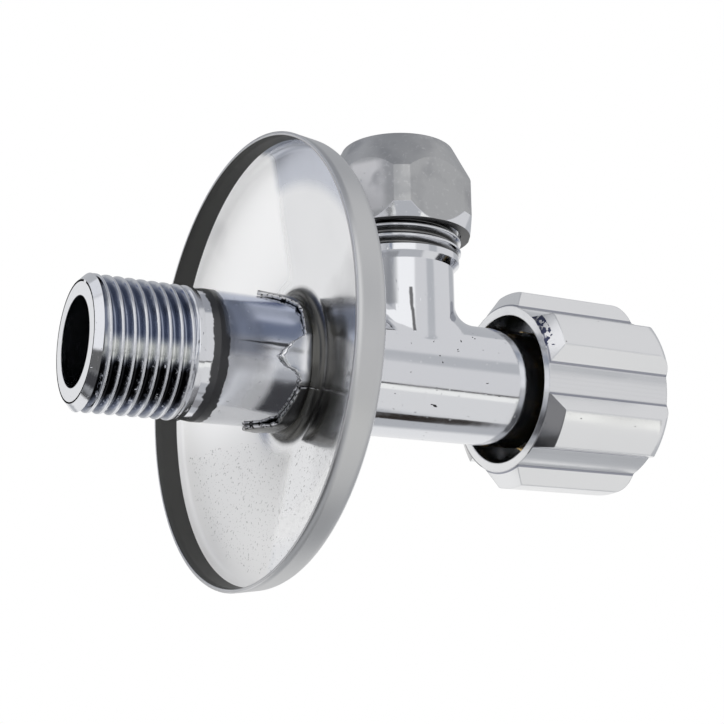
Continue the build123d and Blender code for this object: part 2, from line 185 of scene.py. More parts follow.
# %% World
SEEN_LIGHT = 1.0
DIFFUSE_LIGHT = 0.75

bpy.context.scene.view_settings.view_transform = "Standard"
world = bpy.data.worlds.new("studio")
bpy.context.scene.world = world
world.use_nodes = True
tree = world.node_tree
tree.nodes.clear()
path = tree.nodes.new("ShaderNodeLightPath").outputs
is_seen = number(tree, "MAXIMUM", path["Is Camera Ray"], path["Is Glossy Ray"])
is_seen = number(tree, "MAXIMUM", is_seen, path["Is Transmission Ray"])
choose = tree.nodes.new("ShaderNodeMixShader")
tree.links.new(is_seen, choose.inputs[0])
for slot, light in ((1, DIFFUSE_LIGHT), (2, SEEN_LIGHT)):
    white = tree.nodes.new("ShaderNodeBackground")
    white.inputs["Color"].default_value = (1, 1, 1, 1)
    white.inputs["Strength"].default_value = light
    tree.links.new(white.outputs[0], choose.inputs[slot])
end = tree.nodes.new("ShaderNodeOutputWorld")
tree.links.new(choose.outputs[0], end.inputs[0])
say("world nodes", len(tree.nodes))

# %% Floor
FLOOR_Z = -0.12
FLOOR_R = 1.2
FLOOR_GREY = (0.9, 0.9, 0.9, 1)


def stage_mesh(name, bm):
    """Link a bmesh as an object of the stage, which isn't part of the valve."""
    mesh = bpy.data.meshes.new(name)
    bm.to_mesh(mesh)
    bm.free()
    thing = bpy.data.objects.new(name, mesh)
    bpy.context.scene.collection.objects.link(thing)
    thing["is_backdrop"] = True
    return thing


bm = bmesh.new()
bmesh.ops.create_circle(bm, cap_ends=True, segments=96, radius=FLOOR_R)
bmesh.ops.translate(bm, verts=bm.verts, vec=(0, 0, FLOOR_Z))
floor = stage_mesh("floor", bm)
floor_paint = bpy.data.materials.new("floor_paint")
floor_paint.use_nodes = True
floor_shader = floor_paint.node_tree.nodes["Principled BSDF"]
floor_shader.inputs["Base Color"].default_value = FLOOR_GREY
floor_shader.inputs["Roughness"].default_value = 0.9
floor.data.materials.append(floor_paint)
floor.visible_glossy = False
say("floor below the valve in mm", round((low[2] - FLOOR_Z) / MM, 1))

# %% [markdown]
# Two soft lamps give the valve its shading and the floor its shadow. Metal doesn't mirror them,
# because a lamp's square would show in the chrome: the tent does all the reflections.

# %% Lamps
LAMP_DISTANCE = 0.9


def toward(azimuth, elevation):
    """Direction from the valve: azimuth from +X towards +Y, elevation above the horizon."""
    azimuth, elevation = math.radians(azimuth), math.radians(elevation)
    flat = math.cos(elevation)
    return Vector((flat * math.cos(azimuth), flat * math.sin(azimuth), math.sin(elevation)))


def lamp(name, azimuth, elevation, size, watts):
    """A soft square lamp that looks at the valve."""
    data = bpy.data.lights.new(name, "AREA")
    data.shape = "RECTANGLE"
    data.size, data.size_y = size
    data.energy = watts
    thing = bpy.data.objects.new(name, data)
    way = toward(azimuth, elevation)
    place = Matrix.Translation(CENTRE + way * LAMP_DISTANCE)
    thing.matrix_world = place @ way.to_track_quat("Z", "Y").to_matrix().to_4x4()
    thing.visible_glossy = False
    bpy.context.scene.collection.objects.link(thing)
    say(name, f"{watts} W")


lamp("key_lamp", -100, 55, (0.5, 0.5), 3.0)
lamp("side_lamp", 170, 20, (0.4, 0.6), 2.6)

# %% [markdown]
# # The tent
# Round the valve stands a tent of pale cloth that only reflections see, at infinity for all that
# matters. Its cloth is darker overhead, and panels and openings in it give the chrome its bands:
# each one is a soft-edged patch, set by the direction that it lies in and by how wide it is.

# %% Tent cloth
TENT_GREY = (0.50, 0.51, 0.53)
# name: azimuth and elevation of the middle, half width and half height, soft edge, brightness
PATCHES = (
    ("ceiling", 0, 90, 180, 29, 4, (0.34, 0.35, 0.38)),
    ("front_lamp", -105, 16, 27, 36, 6, (1.05, 1.05, 1.05)),
    ("side_cloth", -40, 20, 48, 42, 6, (0.73, 0.73, 0.74)),
    ("side_shade", -52, 22, 9, 9, 6, (0.52, 0.53, 0.55)),
    ("low_cloth", -45, -40, 40, 20, 3, (0.78, 0.78, 0.78)),
    ("bright_seam", -57, -28.5, 26, 4, 1.5, (1.0, 1.0, 0.97)),
    ("seam", -57, -23.5, 26, 1.3, 0.8, (0.06, 0.06, 0.065)),
    ("right_cloth", 62, -14, 26, 32, 8, (0.88, 0.88, 0.88)),
    ("back_cloth", 116, 14, 16, 11, 4, (0.87, 0.87, 0.87)),
    ("back_shade", 98, 16, 5, 12, 5, (0.55, 0.55, 0.56)),
    ("left_opening", -143, 22, 10, 30, 4, (0.27, 0.30, 0.37)),
    ("far_left", -170, 9, 18, 39, 6, (0.95, 0.95, 0.97)),
    ("sky_edge", 148, 54, 24, 8, 4, (0.80, 0.81, 0.84)),
    ("sky_opening", 148, 30, 20, 16, 5, (0.11, 0.135, 0.23)),
    ("grey_strip", 166, 13, 8, 8, 3, (0.17, 0.18, 0.18)),
    ("white_strip", 162, 0, 14, 4, 1.5, (0.95, 0.95, 0.95)),
    ("back_floor", 146, -22, 20, 15, 3, (0.012, 0.012, 0.013)),
    ("floor_side", 112, -30, 20, 18, 6, (0.90, 0.90, 0.90)),
    ("floor_far", -170, -45, 34, 16, 6, (0.06, 0.06, 0.065)),
    ("knob_card", -174, -20, 16, 10, 4, (0.14, 0.14, 0.14)),
    ("left_seam", -143, 9, 14, 1.6, 1, (0.03, 0.03, 0.03)),
    ("floor_grey", 12, -70, 60, 8, 4, (0.30, 0.30, 0.31)),
    ("floor_opening", 6, -59.5, 13, 2.5, 1.0, (0.02, 0.014, 0.01)),
    ("lens", -118, -14, 6, 6, 3, (0.04, 0.04, 0.04)),
)
TENT_R = 60.0


def tent_cloth():
    """Emission by direction: grey cloth with the patches over it, each in azimuth and elevation."""
    paint = bpy.data.materials.new("tent_cloth")
    paint.use_nodes = True
    tree = paint.node_tree
    tree.nodes.clear()
    place = tree.nodes.new("ShaderNodeTexCoord").outputs["Object"]
    unit = vector(tree, "NORMALIZE", place)
    rise = number(tree, "ARCSINE", measure(tree, "DOT_PRODUCT", unit, (0, 0, 1)))
    colour = (*TENT_GREY, 1)
    for name, azimuth, elevation, across, tall, edge, glow in PATCHES:
        x = measure(tree, "DOT_PRODUCT", unit, toward(azimuth, 0))
        y = measure(tree, "DOT_PRODUCT", unit, toward(azimuth + 90, 0))
        turn = number(tree, "ABSOLUTE", number(tree, "ARCTAN2", y, x))
        above = number(tree, "ABSOLUTE", number(tree, "SUBTRACT", rise, math.radians(elevation)))
        in_turn = fading(tree, turn, math.radians(across), math.radians(edge))
        in_height = fading(tree, above, math.radians(tall), math.radians(edge))
        mix = tree.nodes.new("ShaderNodeMix")
        mix.data_type = "RGBA"
        mix.label = name
        mix.inputs[7].default_value = (*glow, 1)
        tree.links.new(number(tree, "MULTIPLY", in_turn, in_height), mix.inputs[0])
        if isinstance(colour, tuple):
            mix.inputs[6].default_value = colour
        else:
            tree.links.new(colour, mix.inputs[6])
        colour = mix.outputs[2]
    light = tree.nodes.new("ShaderNodeEmission")
    tree.links.new(colour, light.inputs["Color"])
    end = tree.nodes.new("ShaderNodeOutputMaterial")
    tree.links.new(light.outputs[0], end.inputs[0])
    return paint


bm = bmesh.new()
bmesh.ops.create_uvsphere(bm, u_segments=32, v_segments=16, radius=TENT_R)
tent = stage_mesh("tent", bm)
tent.data.materials.append(tent_cloth())
for ray in ("camera", "diffuse", "transmission", "shadow", "volume_scatter"):
    setattr(tent, "visible_" + ray, False)
say("tent patches", len(PATCHES))

# %% [markdown]
# # Finishes
# Polished chrome over brass is a mirror with faint waves, a few pits and hazy smudges. The waves
# are a bump from large soft noise, the pits a bump from a thresholded fine noise, and the
# smudges a change of roughness. One function makes every metal from those three, so that
# the body, the sheet and the moulded knob differ only in their amounts.

# %% Metal finish
SMUDGE_SCALE, SMUDGE_LIMITS = 110, (0.35, 0.7)
WAVE_SCALE, WAVE_LIMITS, WAVE_HEIGHT = 260, (0.0, 1.0), 1.0 * MM
PIT_SCALE, PIT_LIMITS, PIT_DEPTH = 1500, (0.8, 0.72), 0.2 * MM


def bump(tree, height, strength, distance, under):
    """Normal of a bump from a height, laid over another normal where there is one."""
    node = tree.nodes.new("ShaderNodeBump")
    node.inputs["Strength"].default_value = strength
    node.inputs["Distance"].default_value = distance
    tree.links.new(height, node.inputs["Height"])
    if under:
        tree.links.new(under, node.inputs["Normal"])
    return node.outputs[0]


def metal(name, colour, roughness, haze=0.05, wave=0.02, pits=0.0, edge=0.0, metallic=1.0):
    """A plated or turned metal: hazy roughness, soft waves, pits, and edges rounded by edge mm."""
    paint = bpy.data.materials.new(name)
    paint.use_nodes = True
    tree = paint.node_tree
    shader = tree.nodes["Principled BSDF"]
    shader.inputs["Base Color"].default_value = (*colour, 1)
    shader.inputs["Metallic"].default_value = metallic
    place = tree.nodes.new("ShaderNodeTexCoord").outputs["Object"]
    smudge = cloud(tree, place, SMUDGE_SCALE, 5)
    smudge = ranged(tree, smudge, *SMUDGE_LIMITS, roughness, roughness + haze)
    tree.links.new(smudge, shader.inputs["Roughness"])
    normal = None
    if edge:
        rounding = tree.nodes.new("ShaderNodeBevel")
        rounding.samples = 4
        rounding.inputs["Radius"].default_value = edge * MM
        normal = rounding.outputs[0]
    waves = ranged(tree, cloud(tree, place, WAVE_SCALE, 2), *WAVE_LIMITS)
    normal = bump(tree, waves, wave, WAVE_HEIGHT, normal)
    if pits:
        holes = ranged(tree, cloud(tree, place, PIT_SCALE, 1), *PIT_LIMITS)
        normal = bump(tree, holes, pits, PIT_DEPTH, normal)
    tree.links.new(normal, shader.inputs["Normal"])
    return paint


CHROME = (0.8, 0.81, 0.84)
polished = metal("polished_chrome", CHROME, 0.07, haze=0.05, wave=0.012, pits=0.15, edge=0.12)
threaded = metal("threaded_chrome", CHROME, 0.09, haze=0.06, wave=0.02, pits=0.25)
outlet_threaded = metal("outlet_threaded_chrome", CHROME, 0.09, haze=0.06, wave=0.02, pits=0.25)
satin = metal("satin_chrome", (0.53, 0.535, 0.54), 0.38, haze=0.16, wave=0.05, pits=0.35, edge=0.15)
sheet = metal("chromed_sheet", (0.84, 0.845, 0.86), 0.08, haze=0.12, wave=0.01, pits=0.06)
moulded = metal("chromed_moulding", (0.87, 0.875, 0.885), 0.16, haze=0.08, wave=0.02, pits=0.1, edge=0.3)
bare_brass = metal("turned_brass", (0.72, 0.52, 0.24), 0.22, haze=0.1, wave=0.01)
zinc = metal("zinc_plate", (0.6, 0.62, 0.65), 0.3, haze=0.1, wave=0.01)
torn = metal("torn_sheet_edge", (0.72, 0.72, 0.73), 0.3, haze=0.15, wave=0.05)
rubber = metal("seal_rubber", (0.03, 0.03, 0.032), 0.55, haze=0.15, wave=0.05, metallic=0.0)

FINISH = {
    "valve_body": polished,
    "wall_rosette": sheet,
    "compression_nut": satin,
    "knob": moulded,
    "knob_cap": moulded,
    "compression_olive": bare_brass,
    "headwork_bonnet": bare_brass,
    "spindle": bare_brass,
    "valve_disc": bare_brass,
    "washer_retainer": bare_brass,
    "knob_insert": bare_brass,
    "knob_screw": zinc,
    "screw_washer": zinc,
    "bonnet_seal_ring": rubber,
    "spindle_o_rings": rubber,
    "seat_washer": rubber,
}
for name, paint in FINISH.items():
    node = nodes[name]
    node.data.materials.clear()
    node.data.materials.append(paint)
say("finished nodes", len(FINISH))

# %% [markdown]
# # Marks of wear and of painted light
# A mark is a change of colour and roughness over a part of a finish: the dark, dull inside of
# the rim, painted shade and painted reflections in a groove, chips along an edge. Where it lies is
# told by limits on the place along an axis and the distance from it, added up with weights, so
# that a cone or a slanted wall can be picked out as easily as a ring. Noise makes its border
# ragged or breaks it up into specks.

# %% Limits of a mark
ABOUT_INLET = ((0, 0, 0), (1, 0, 0))
ABOUT_OUTLET = ((OUTLET_X, 0, 0), (0, 0, 1))
FORWARD = (1, 0, 0)
UP = (0, 0, 1)


def reach(low, high):
    """From low to high mm along the axis."""
    return 1, 0, low, high


def ring(low, high):
    """Between low and high mm away from the axis."""
    return 0, 1, low, high


def side(way, low, high):
    """From low to high mm along a direction of its own; a short direction fades more slowly."""
    return 0, 0, low, high, way


NEAR_HALF = side((0, 1, 0), -60, 0)
FAR_HALF = side((0, 1, 0), 0, 60)

# %% Marks on a finish


def shift(tree, total, amount, weight=None):
    """A running total with an amount added, times a weight where there is one."""
    part = amount if weight is None else number(tree, "MULTIPLY", amount, weight)
    return number(tree, "ADD", total, part)


def mark(
    paint, limits, colour, roughness=None, about=ABOUT_INLET, ragged=0.0, grain=900, specks=None,
    strength=1.0, soft=0.02, metallic=None,
):
    """Change a finish where all limits hold, each of them fading over soft mm.

    A limit is the weight of the place along the axis, the weight of the distance from it, the low
    and the high end in mm, and maybe a direction along which the place is added too. specks are
    the scale and threshold of a noise that breaks the mark up, and maybe how far they fade.
    """
    tree = paint.node_tree
    shader = tree.nodes["Principled BSDF"]
    centre, axis = about
    place = tree.nodes.new("ShaderNodeTexCoord").outputs["Object"]
    local = vector(tree, "SUBTRACT", place, centre)
    along = measure(tree, "DOT_PRODUCT", local, axis)
    away = measure(tree, "LENGTH", vector(tree, "MULTIPLY", local, tuple(1 - v for v in axis)))
    drift = number(tree, "SUBTRACT", cloud(tree, place, grain, 4), 0.5)
    drift = number(tree, "MULTIPLY", drift, 4 * ragged * MM)
    mask = strength
    for by_place, by_radius, low, high, *ways in limits:
        total = shift(tree, number(tree, "MULTIPLY", along, by_place), away, by_radius)
        for way in ways:
            total = shift(tree, total, measure(tree, "DOT_PRODUCT", place, way))
        off = number(tree, "SUBTRACT", shift(tree, total, drift), (low + high) / 2 * MM)
        off = number(tree, "ABSOLUTE", off)
        mask = number(tree, "MULTIPLY", fading(tree, off, (high - low) / 2 * MM, soft * MM), mask)
    if specks:
        scale, threshold, *fade = specks
        dots = cloud(tree, place, scale, 2)
        mask = number(tree, "MULTIPLY", ranged(tree, dots, threshold, threshold + sum(fade, 0.01)), mask)
    for name, value in (("Base Color", (*colour, 1)), ("Roughness", roughness), ("Metallic", metallic)):
        if value is not None:
            mix_in(tree, shader.inputs[name], value, mask)


def mix_in(tree, socket, value, mask):
    """Mix a colour or a number into what a shader's socket gets already."""
    mix = tree.nodes.new("ShaderNodeMix")
    is_colour = isinstance(value, tuple)
    mix.data_type = "RGBA" if is_colour else "FLOAT"
    before, after, result = (6, 7, 2) if is_colour else (2, 3, 0)
    if socket.is_linked:
        tree.links.new(socket.links[0].from_socket, mix.inputs[before])
    else:
        mix.inputs[before].default_value = socket.default_value
    mix.inputs[after].default_value = value
    tree.links.new(mask, mix.inputs[0])
    tree.links.new(mix.outputs[result], socket)


# %% [markdown]
# The body's marks come first. Beside the land lies a dark ragged strip, a painted reflection of
# the rosette's dark skirt. The tube's upper near side is painted blue as a painted reflection, with
# painted shade below its middle and a thin dark line that widens towards the collar, and the branch
# is painted darker on its left as a painted reflection and is a little dull there, beside a dark
# seam. The barrel has small pits.

# %% Marks on the body
DARK = (0.05, 0.05, 0.052)
ON_TUBE = ring(9.9, 10.7)
NEAR_SIDE = side((0, 1, 0), -60, -1)
MID_DARK_LINE = [(0.04, 0, 0.56, 20, UP), (-0.04, 0, -20, 0.08, UP), reach(5, 14.2)]
SEAM = (0.05, 0, 37.45, 37.95, FORWARD)

# Painted reflection: a dark ragged strip beside the land, where the tube mirrors the dark skirt.
mark(polished, [reach(2.05, 4.6), ON_TUBE], DARK, 0.3, ragged=0.28, soft=0.2, strength=0.95)
# Painted reflection: the upper near side of the tube painted blue.
mark(polished, [reach(4.4, 19), ON_TUBE, NEAR_SIDE, side(UP, 1.0, 9.0)], (0.44, 0.49, 0.62), 0.16, soft=1.6)
# Painted shade: a soft dark band below the middle of the tube's near side.
mark(polished, [reach(5.5, 11.5), ON_TUBE, NEAR_SIDE, side(UP, -4.0, 0.9)], (0.40, 0.40, 0.42), 0.2,
     soft=2.0, strength=0.8)
# A thin dark line along the middle of the near side, widening towards the collar.
mark(polished, [ON_TUBE, NEAR_SIDE, *MID_DARK_LINE], DARK, 0.3, ragged=0.06, grain=400, soft=0.25, strength=0.9)
# Painted reflection: the left of the branch painted darker, and a little rougher.
mark(polished, [reach(10.3, 19), NEAR_SIDE, side(FORWARD, 32.5, 35.1)], (0.46, 0.47, 0.49), 0.2, ABOUT_OUTLET,
     soft=0.6, strength=0.8)
mark(polished, [reach(5.6, 13.1), NEAR_SIDE, SEAM], DARK, 0.3, ABOUT_OUTLET, ragged=0.22, grain=260,
     soft=0.25, strength=0.85)
mark(polished, [reach(28, 62), ring(9.9, 10.6)], DARK, 0.4, specks=(900, 0.725))
say("nodes of the polished chrome", len(polished.node_tree.nodes))

# %% [markdown]
# The grooves of the threads carry painted shade and painted reflections: blue-grey above, black
# below the middle, with a bright band between them and chrome showing through low down. The nose
# cone at the end stays unpainted.

# %% Marks on the threads
BEHIND_NOSE = reach(-14.8, 0)
IN_GROOVES = ring(8.6, 10.12)
SLOWLY_UP = (0, 0, 0.28)

# Painted shade and painted blue-grey reflection in all grooves behind the nose.
mark(threaded, [IN_GROOVES, BEHIND_NOSE], (0.27, 0.30, 0.385), 0.2, ragged=0.1, soft=0.6)
# Painted reflection: a bright band in the grooves a little below the middle.
mark(threaded, [IN_GROOVES, side(SLOWLY_UP, -1.2, -0.3), BEHIND_NOSE], (0.75, 0.76, 0.75), 0.15, soft=0.6)
# Painted reflection: the grooves painted black lower down.
mark(threaded, [ring(8.6, 10.22), side(SLOWLY_UP, -2.6, -1.2), BEHIND_NOSE], (0.02, 0.02, 0.022), 0.3,
     ragged=0.1, soft=0.5)
# Bare chrome in specks through the painted black, low down.
mark(threaded, [ring(9.6, 10.3), side(UP, -9.6, -3.5), BEHIND_NOSE], CHROME, 0.1, specks=(1100, 0.56))
# Painted shade in the grooves of the outlet thread.
mark(outlet_threaded, [ring(8.6, 9.95)], (0.2, 0.2, 0.2), 0.25, ABOUT_OUTLET, ragged=0.08, soft=0.6)
say("nodes of the threaded chrome", len(threaded.node_tree.nodes))

# %% [markdown]
# The rosette is hazy inside on its far half, painted lighter there as a painted reflection, with
# painted shade low down; its near half is painted bluer as a painted reflection and lighter low
# down, and specks lie at the bottom. Its skirt is dark inside and brushed outside, two slanted rings
# that meet inside the sheet. Where the sheet was folded to the collar, it is painted dark as a
# painted reflection.

# %% Marks on the rosette
INSIDE = (10, 1.745, 50, 223.8, (0, 0.33, -0.11))
LOWER = side((0, 0, 0.3), -12, -2)
SKIRT_BLACK = (0.045, 0.045, 0.043)
FOLD = (0.055, 0.053, 0.045)
ON_COLLAR = ring(10.3, 12.6)

# Painted reflection: the outer far half of the dish lighter and hazy.
mark(sheet, [ring(26, 38), reach(12, 20), FAR_HALF], (0.97, 0.97, 0.97), 0.35, soft=4, metallic=0.35)
mark(sheet, [(0.1132, 1, 35.3, 37.03), (1, 0.17, 10, 21.25)], SKIRT_BLACK, 0.3, ragged=0.01)
# Painted reflection: the far half inside lighter and hazy.
mark(sheet, [ring(14, 38), INSIDE, FAR_HALF], (0.95, 0.95, 0.95), 0.35, soft=4, metallic=0.15)
# Painted shade low down on the far half.
mark(sheet, [ring(14, 38), INSIDE, FAR_HALF, LOWER], (0.74, 0.74, 0.74), soft=4)
mark(sheet, [ring(14, 36)], (0.70, 0.70, 0.71), 0.25, specks=(60, 0.6, 0.12), strength=0.5)
# Painted reflection: the outer near half bluer.
mark(sheet, [ring(29, 38), INSIDE, NEAR_HALF], (0.36, 0.40, 0.50), 0.3, soft=3, strength=0.6, metallic=0.4)
# Painted reflection: the near half lighter low down.
mark(sheet, [ring(24, 38), INSIDE, NEAR_HALF, side((0, 0, 0.3), -12, -1)], (0.9, 0.9, 0.9), 0.3, soft=3,
     strength=0.75, metallic=0.3)
mark(sheet, [ring(14, 33), INSIDE, side(UP, -34, -10)], (0.3, 0.3, 0.3), 0.3, ragged=1.0, grain=200,
     specks=(2400, 0.64), strength=0.7)
mark(sheet, [(0.1132, 1, 35.3, 37.27), (1, 0.17, 10, 20.05, (0, 0.008, -0.011))], SKIRT_BLACK, 0.5,
     ragged=0.01, metallic=0.3)
mark(sheet, [(0.1132, 1, 37.27, 38.5)], (0.64, 0.645, 0.65), 0.36, soft=0.1, metallic=1.0)
# Painted reflection: the fold of the collar and its sides painted dark.
mark(sheet, [reach(17.4, 21.0), ON_COLLAR], FOLD, 0.28, ragged=0.06, soft=1.4, strength=0.92)
for bottom, top in ((2.5, 14), (-14, -5)):
    mark(sheet, [reach(10, 18.5), ON_COLLAR, side(UP, bottom, top)], FOLD, 0.28, ragged=0.2, soft=0.8,
         strength=0.8)
mark(torn, [ring(9, 14)], (0.02, 0.02, 0.02), 0.5, specks=(2300, 0.55))
say("nodes of the chromed sheet", len(sheet.node_tree.nodes))

# %% [markdown]
# The nut is matt and mottled, with one flat painted lighter as a painted reflection, a bright cone
# at its base and painted shade on its underside. The knob has painted grey reflections along the
# feet of its lobes, a bevel painted dim below as a painted reflection and a chipped one above, and
# chips along the edges of its lobes.

# %% Marks on the nut and the knob
ANYWHERE = ring(0, 20)
MOUTH_BEVEL = (1, -0.685, 49.85, 50.05)

# Painted reflection: the flat at the left of the nut painted lighter.
mark(satin, [reach(25.5, 34.2), side(FORWARD, 10, 31.9)], (0.66, 0.66, 0.67), 0.34, ABOUT_OUTLET, soft=1.0)
mark(satin, [ANYWHERE], (0.40, 0.405, 0.42), 0.46, ABOUT_OUTLET, specks=(210, 0.48, 0.2), strength=0.8)
mark(satin, [ANYWHERE], (0.66, 0.665, 0.67), 0.34, ABOUT_OUTLET, specks=(1500, 0.58, 0.1), strength=0.4)
mark(satin, [(-0.4478, 1, 1.22, 1.35), reach(24.22, 26.48)], CHROME, 0.08, ABOUT_OUTLET)
# Painted shade on the nut's underside.
mark(satin, [reach(24.1, 24.22)], (0.12, 0.12, 0.12), 0.4, ABOUT_OUTLET)
# Painted reflection: grey-blue lines along the feet of the knob's lobes.
mark(moulded, [ring(14.43, 14.7)], (0.34, 0.35, 0.40), 0.2, soft=0.1)
# Painted reflection: the lower part of the mouth's bevel painted dim.
mark(moulded, [MOUTH_BEVEL, side(UP, -12.5, -3.5)], (0.30, 0.30, 0.31), 0.12)
mark(moulded, [MOUTH_BEVEL, side(UP, 4.5, 10.5), ring(14.3, 15.7)], (0.07, 0.08, 0.14), 0.3, grain=1400,
     ragged=0.1, specks=(1300, 0.49))
mark(moulded, [ring(16.85, 17.2)], DARK, 0.4, specks=(900, 0.74))
say("nodes of the satin and the moulded chrome", (len(satin.node_tree.nodes), len(moulded.node_tree.nodes)))

# %% [markdown]
# # Threads
# Both ends of the body carry a half inch pipe thread. One pitch of its section is drawn as a few
# points and spun along the axis, rising one pitch a turn, so that the bands of neighbouring turns
# meet and merge to one surface. Planes trim it to length, the nose is turned down to a cone,
# and the groove fades out towards the land, as the die leaves it.

# %% Thread section
# (share of the pitch, share of the depth)
THREAD_SECTION = (
    (0.0, 0.0), (0.07, 0.0), (0.10, 0.03), (0.13, 0.10), (0.142, 0.139), (0.348, 0.811), (0.36, 0.85),
    (0.385, 0.95), (0.42, 0.995), (0.47, 1.0), (0.49, 0.975), (0.51, 0.975), (0.53, 1.0), (0.58, 0.995),
    (0.615, 0.95), (0.64, 0.85), (0.652, 0.811), (0.858, 0.139), (0.87, 0.10), (0.90, 0.03), (0.93, 0.0),
    (1.0, 0.0),
)
STEPS_A_TURN = 90
TIGHT = 0.001 * MM


def helical_surface(start, end, groove):
    """Thread surface about +X from before start to after end; one groove's middle has x = groove at +Y."""
    bm = bmesh.new()
    first = groove - PITCH * (math.ceil((groove - start) / PITCH) + 1)
    turns = math.ceil((end - first) / PITCH) + 1
    depth = CREST_R - ROOT_R
    points = [(first + along * PITCH, ROOT_R + rise * depth, 0) for along, rise in THREAD_SECTION]
    verts = [bm.verts.new(point) for point in points]
    line = [bm.edges.new(pair) for pair in zip(verts, verts[1:])]
    bmesh.ops.spin(
        bm, geom=verts + line, cent=(0, 0, 0), axis=(1, 0, 0), dvec=(PITCH / STEPS_A_TURN, 0, 0),
        angle=2 * math.pi * turns, steps=STEPS_A_TURN * turns, use_duplicate=False,
    )
    bmesh.ops.remove_doubles(bm, verts=bm.verts, dist=TIGHT)
    return bm


say("points of the thread's section", len(THREAD_SECTION))

# %% Small helpers for turned shapes


def cut_at(bm, x, keep=None):
    """Cut across the axis at x; keep 'above' or 'below', or both when keep is None."""
    return bmesh.ops.bisect_plane(
        bm, geom=bm.verts[:] + bm.edges[:] + bm.faces[:], dist=TIGHT / 2, plane_co=(x, 0, 0),
        plane_no=(1, 0, 0), clear_inner=keep == "above", clear_outer=keep == "below",
    )


def radius(v):
    """Distance of a vertex from the X axis."""
    return math.hypot(v.co.y, v.co.z)


def set_radius(v, r):
    """Move a vertex straight away from or towards the X axis."""
    now = radius(v)
    v.co.y *= r / now
    v.co.z *= r / now


def eased(value):
    """Zero up to zero, one from one on, and smooth between them."""
    share = min(max(value, 0), 1)
    return share * share * (3 - 2 * share)


def of_kind(made, kind):
    """The vertices, edges or faces in what an operator made."""
    return [g for g in made if isinstance(g, kind)]


def open_edges(made):
    """The edges in what an operator made that have one face only."""
    return [e for e in of_kind(made, bmesh.types.BMEdge) if e.is_boundary]


def finished_piece(name, bm, paint, body, smooth_angle):
    """Link a bmesh as a piece that rides on a body, smooth except over sharp edges."""
    mesh = bpy.data.meshes.new(name)
    bm.to_mesh(mesh)
    bm.free()
    mesh.materials.append(paint)
    mesh.polygons.foreach_set("use_smooth", [True] * len(mesh.polygons))
    mesh.set_sharp_from_angle(angle=math.radians(smooth_angle))
    piece = bpy.data.objects.new(name, mesh)
    bpy.context.scene.collection.objects.link(piece)
    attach(piece, body)
    say(f"{name} faces", len(mesh.polygons))
    return piece


# %% Threaded sleeve
THREAD_WALL_R = 9.05 * MM
RUNOUT = 1.1 * MM


def thread_piece(name, start, end, groove, nose, land=0.0, place=None, paint=threaded):
    """A threaded sleeve from start to end, moved to its place by a matrix.

    nose is where the cone at one end starts, its radius there and its slope. land is the smooth
    length at the far end, before which the groove runs out.
    """
    bm = helical_surface(start, end, groove)
    cut_at(bm, start, "above")
    cut_at(bm, end, "below")
    fades_from = end - land - RUNOUT
    for x in (end - land, fades_from + RUNOUT / 2, fades_from):
        cut_at(bm, x)
    nose_x, nose_r, slope = nose
    nose_length = (CREST_R - nose_r) / slope
    for share in (0.25, 0.5, 0.75, 1.0):
        cut_at(bm, nose_x + share * nose_length)
    for v in bm.verts:
        r = radius(v) + (CREST_R - radius(v)) * eased((v.co.x - fades_from) / RUNOUT)
        set_radius(v, min(r, nose_r + slope * (v.co.x - nose_x)))
    rims = []
    for x in (start, end):
        rim = [e for e in bm.edges if e.is_boundary and all(abs(v.co.x - x) < TIGHT for v in e.verts)]
        wall = bmesh.ops.extrude_edge_only(bm, edges=rim)["geom"]
        for v in of_kind(wall, bmesh.types.BMVert):
            set_radius(v, THREAD_WALL_R)
        rims += open_edges(wall)
    bmesh.ops.bridge_loops(bm, edges=rims)
    bmesh.ops.recalc_face_normals(bm, faces=bm.faces)
    if place:
        bmesh.ops.transform(bm, matrix=place, verts=bm.verts)
    return finished_piece(name, bm, paint, "valve", smooth_angle=40)


# %% Inlet and outlet thread
INLET_FACE = -16 * MM
LAND_END = 0.8 * MM
NOSE_R = 9.3775 * MM
INLET_GROOVE = (-7.58 + 1.814 * (1 - 163.4 / 360)) * MM
INLET_LAND = 0.9 * MM
thread_piece(
    "inlet_thread", INLET_FACE, LAND_END, INLET_GROOVE, nose=(INLET_FACE, NOSE_R, 1.0), land=INLET_LAND,
)

OUTLET_FOOT = 20.3 * MM
OUTLET_TOP = 31.0 * MM
OUTLET_NOSE_R = 9.8775 * MM
OUTLET_GROOVE = 21.6 * MM
# Known fault: swapping X and Z mirrors the thread, so it is left-handed and its faces point inward.
TO_OUTLET = Matrix.Translation((OUTLET_X, 0, 0)) @ Matrix(((0, 0, 1), (0, 1, 0), (1, 0, 0))).to_4x4()
thread_piece(
    "outlet_thread", OUTLET_FOOT, OUTLET_TOP, OUTLET_GROOVE, nose=(OUTLET_TOP, OUTLET_NOSE_R, -1.0),
    place=TO_OUTLET, paint=outlet_threaded,
)

# %% [markdown]
# # The body
# The CAD body is right in every curve, but its threads are plain cylinders. A copy of it loses
# those faces and is closed a little deeper, and the threaded sleeves sit in the room that this
# leaves. The copy is merged for the work, which would lose the exact normals of its fillets,
# so they ride along in a layer of the face corners and are given back at the end.

# %% Normals that outlast a merge
MERGE = 0.0002 * MM


def kept_normals(source):
    """A merged bmesh of a CAD node whose face corners remember their normals."""
    bm = bmesh.new()
    bm.from_mesh(source)
    layer = bm.loops.layers.float_vector.new("kept_normal")
    corners = source.corner_normals
    for face, polygon in zip(bm.faces, source.polygons):
        for corner, index in zip(face.loops, polygon.loop_indices):
            corner[layer] = corners[index].vector
    bmesh.ops.remove_doubles(bm, verts=bm.verts, dist=MERGE)
    return bm


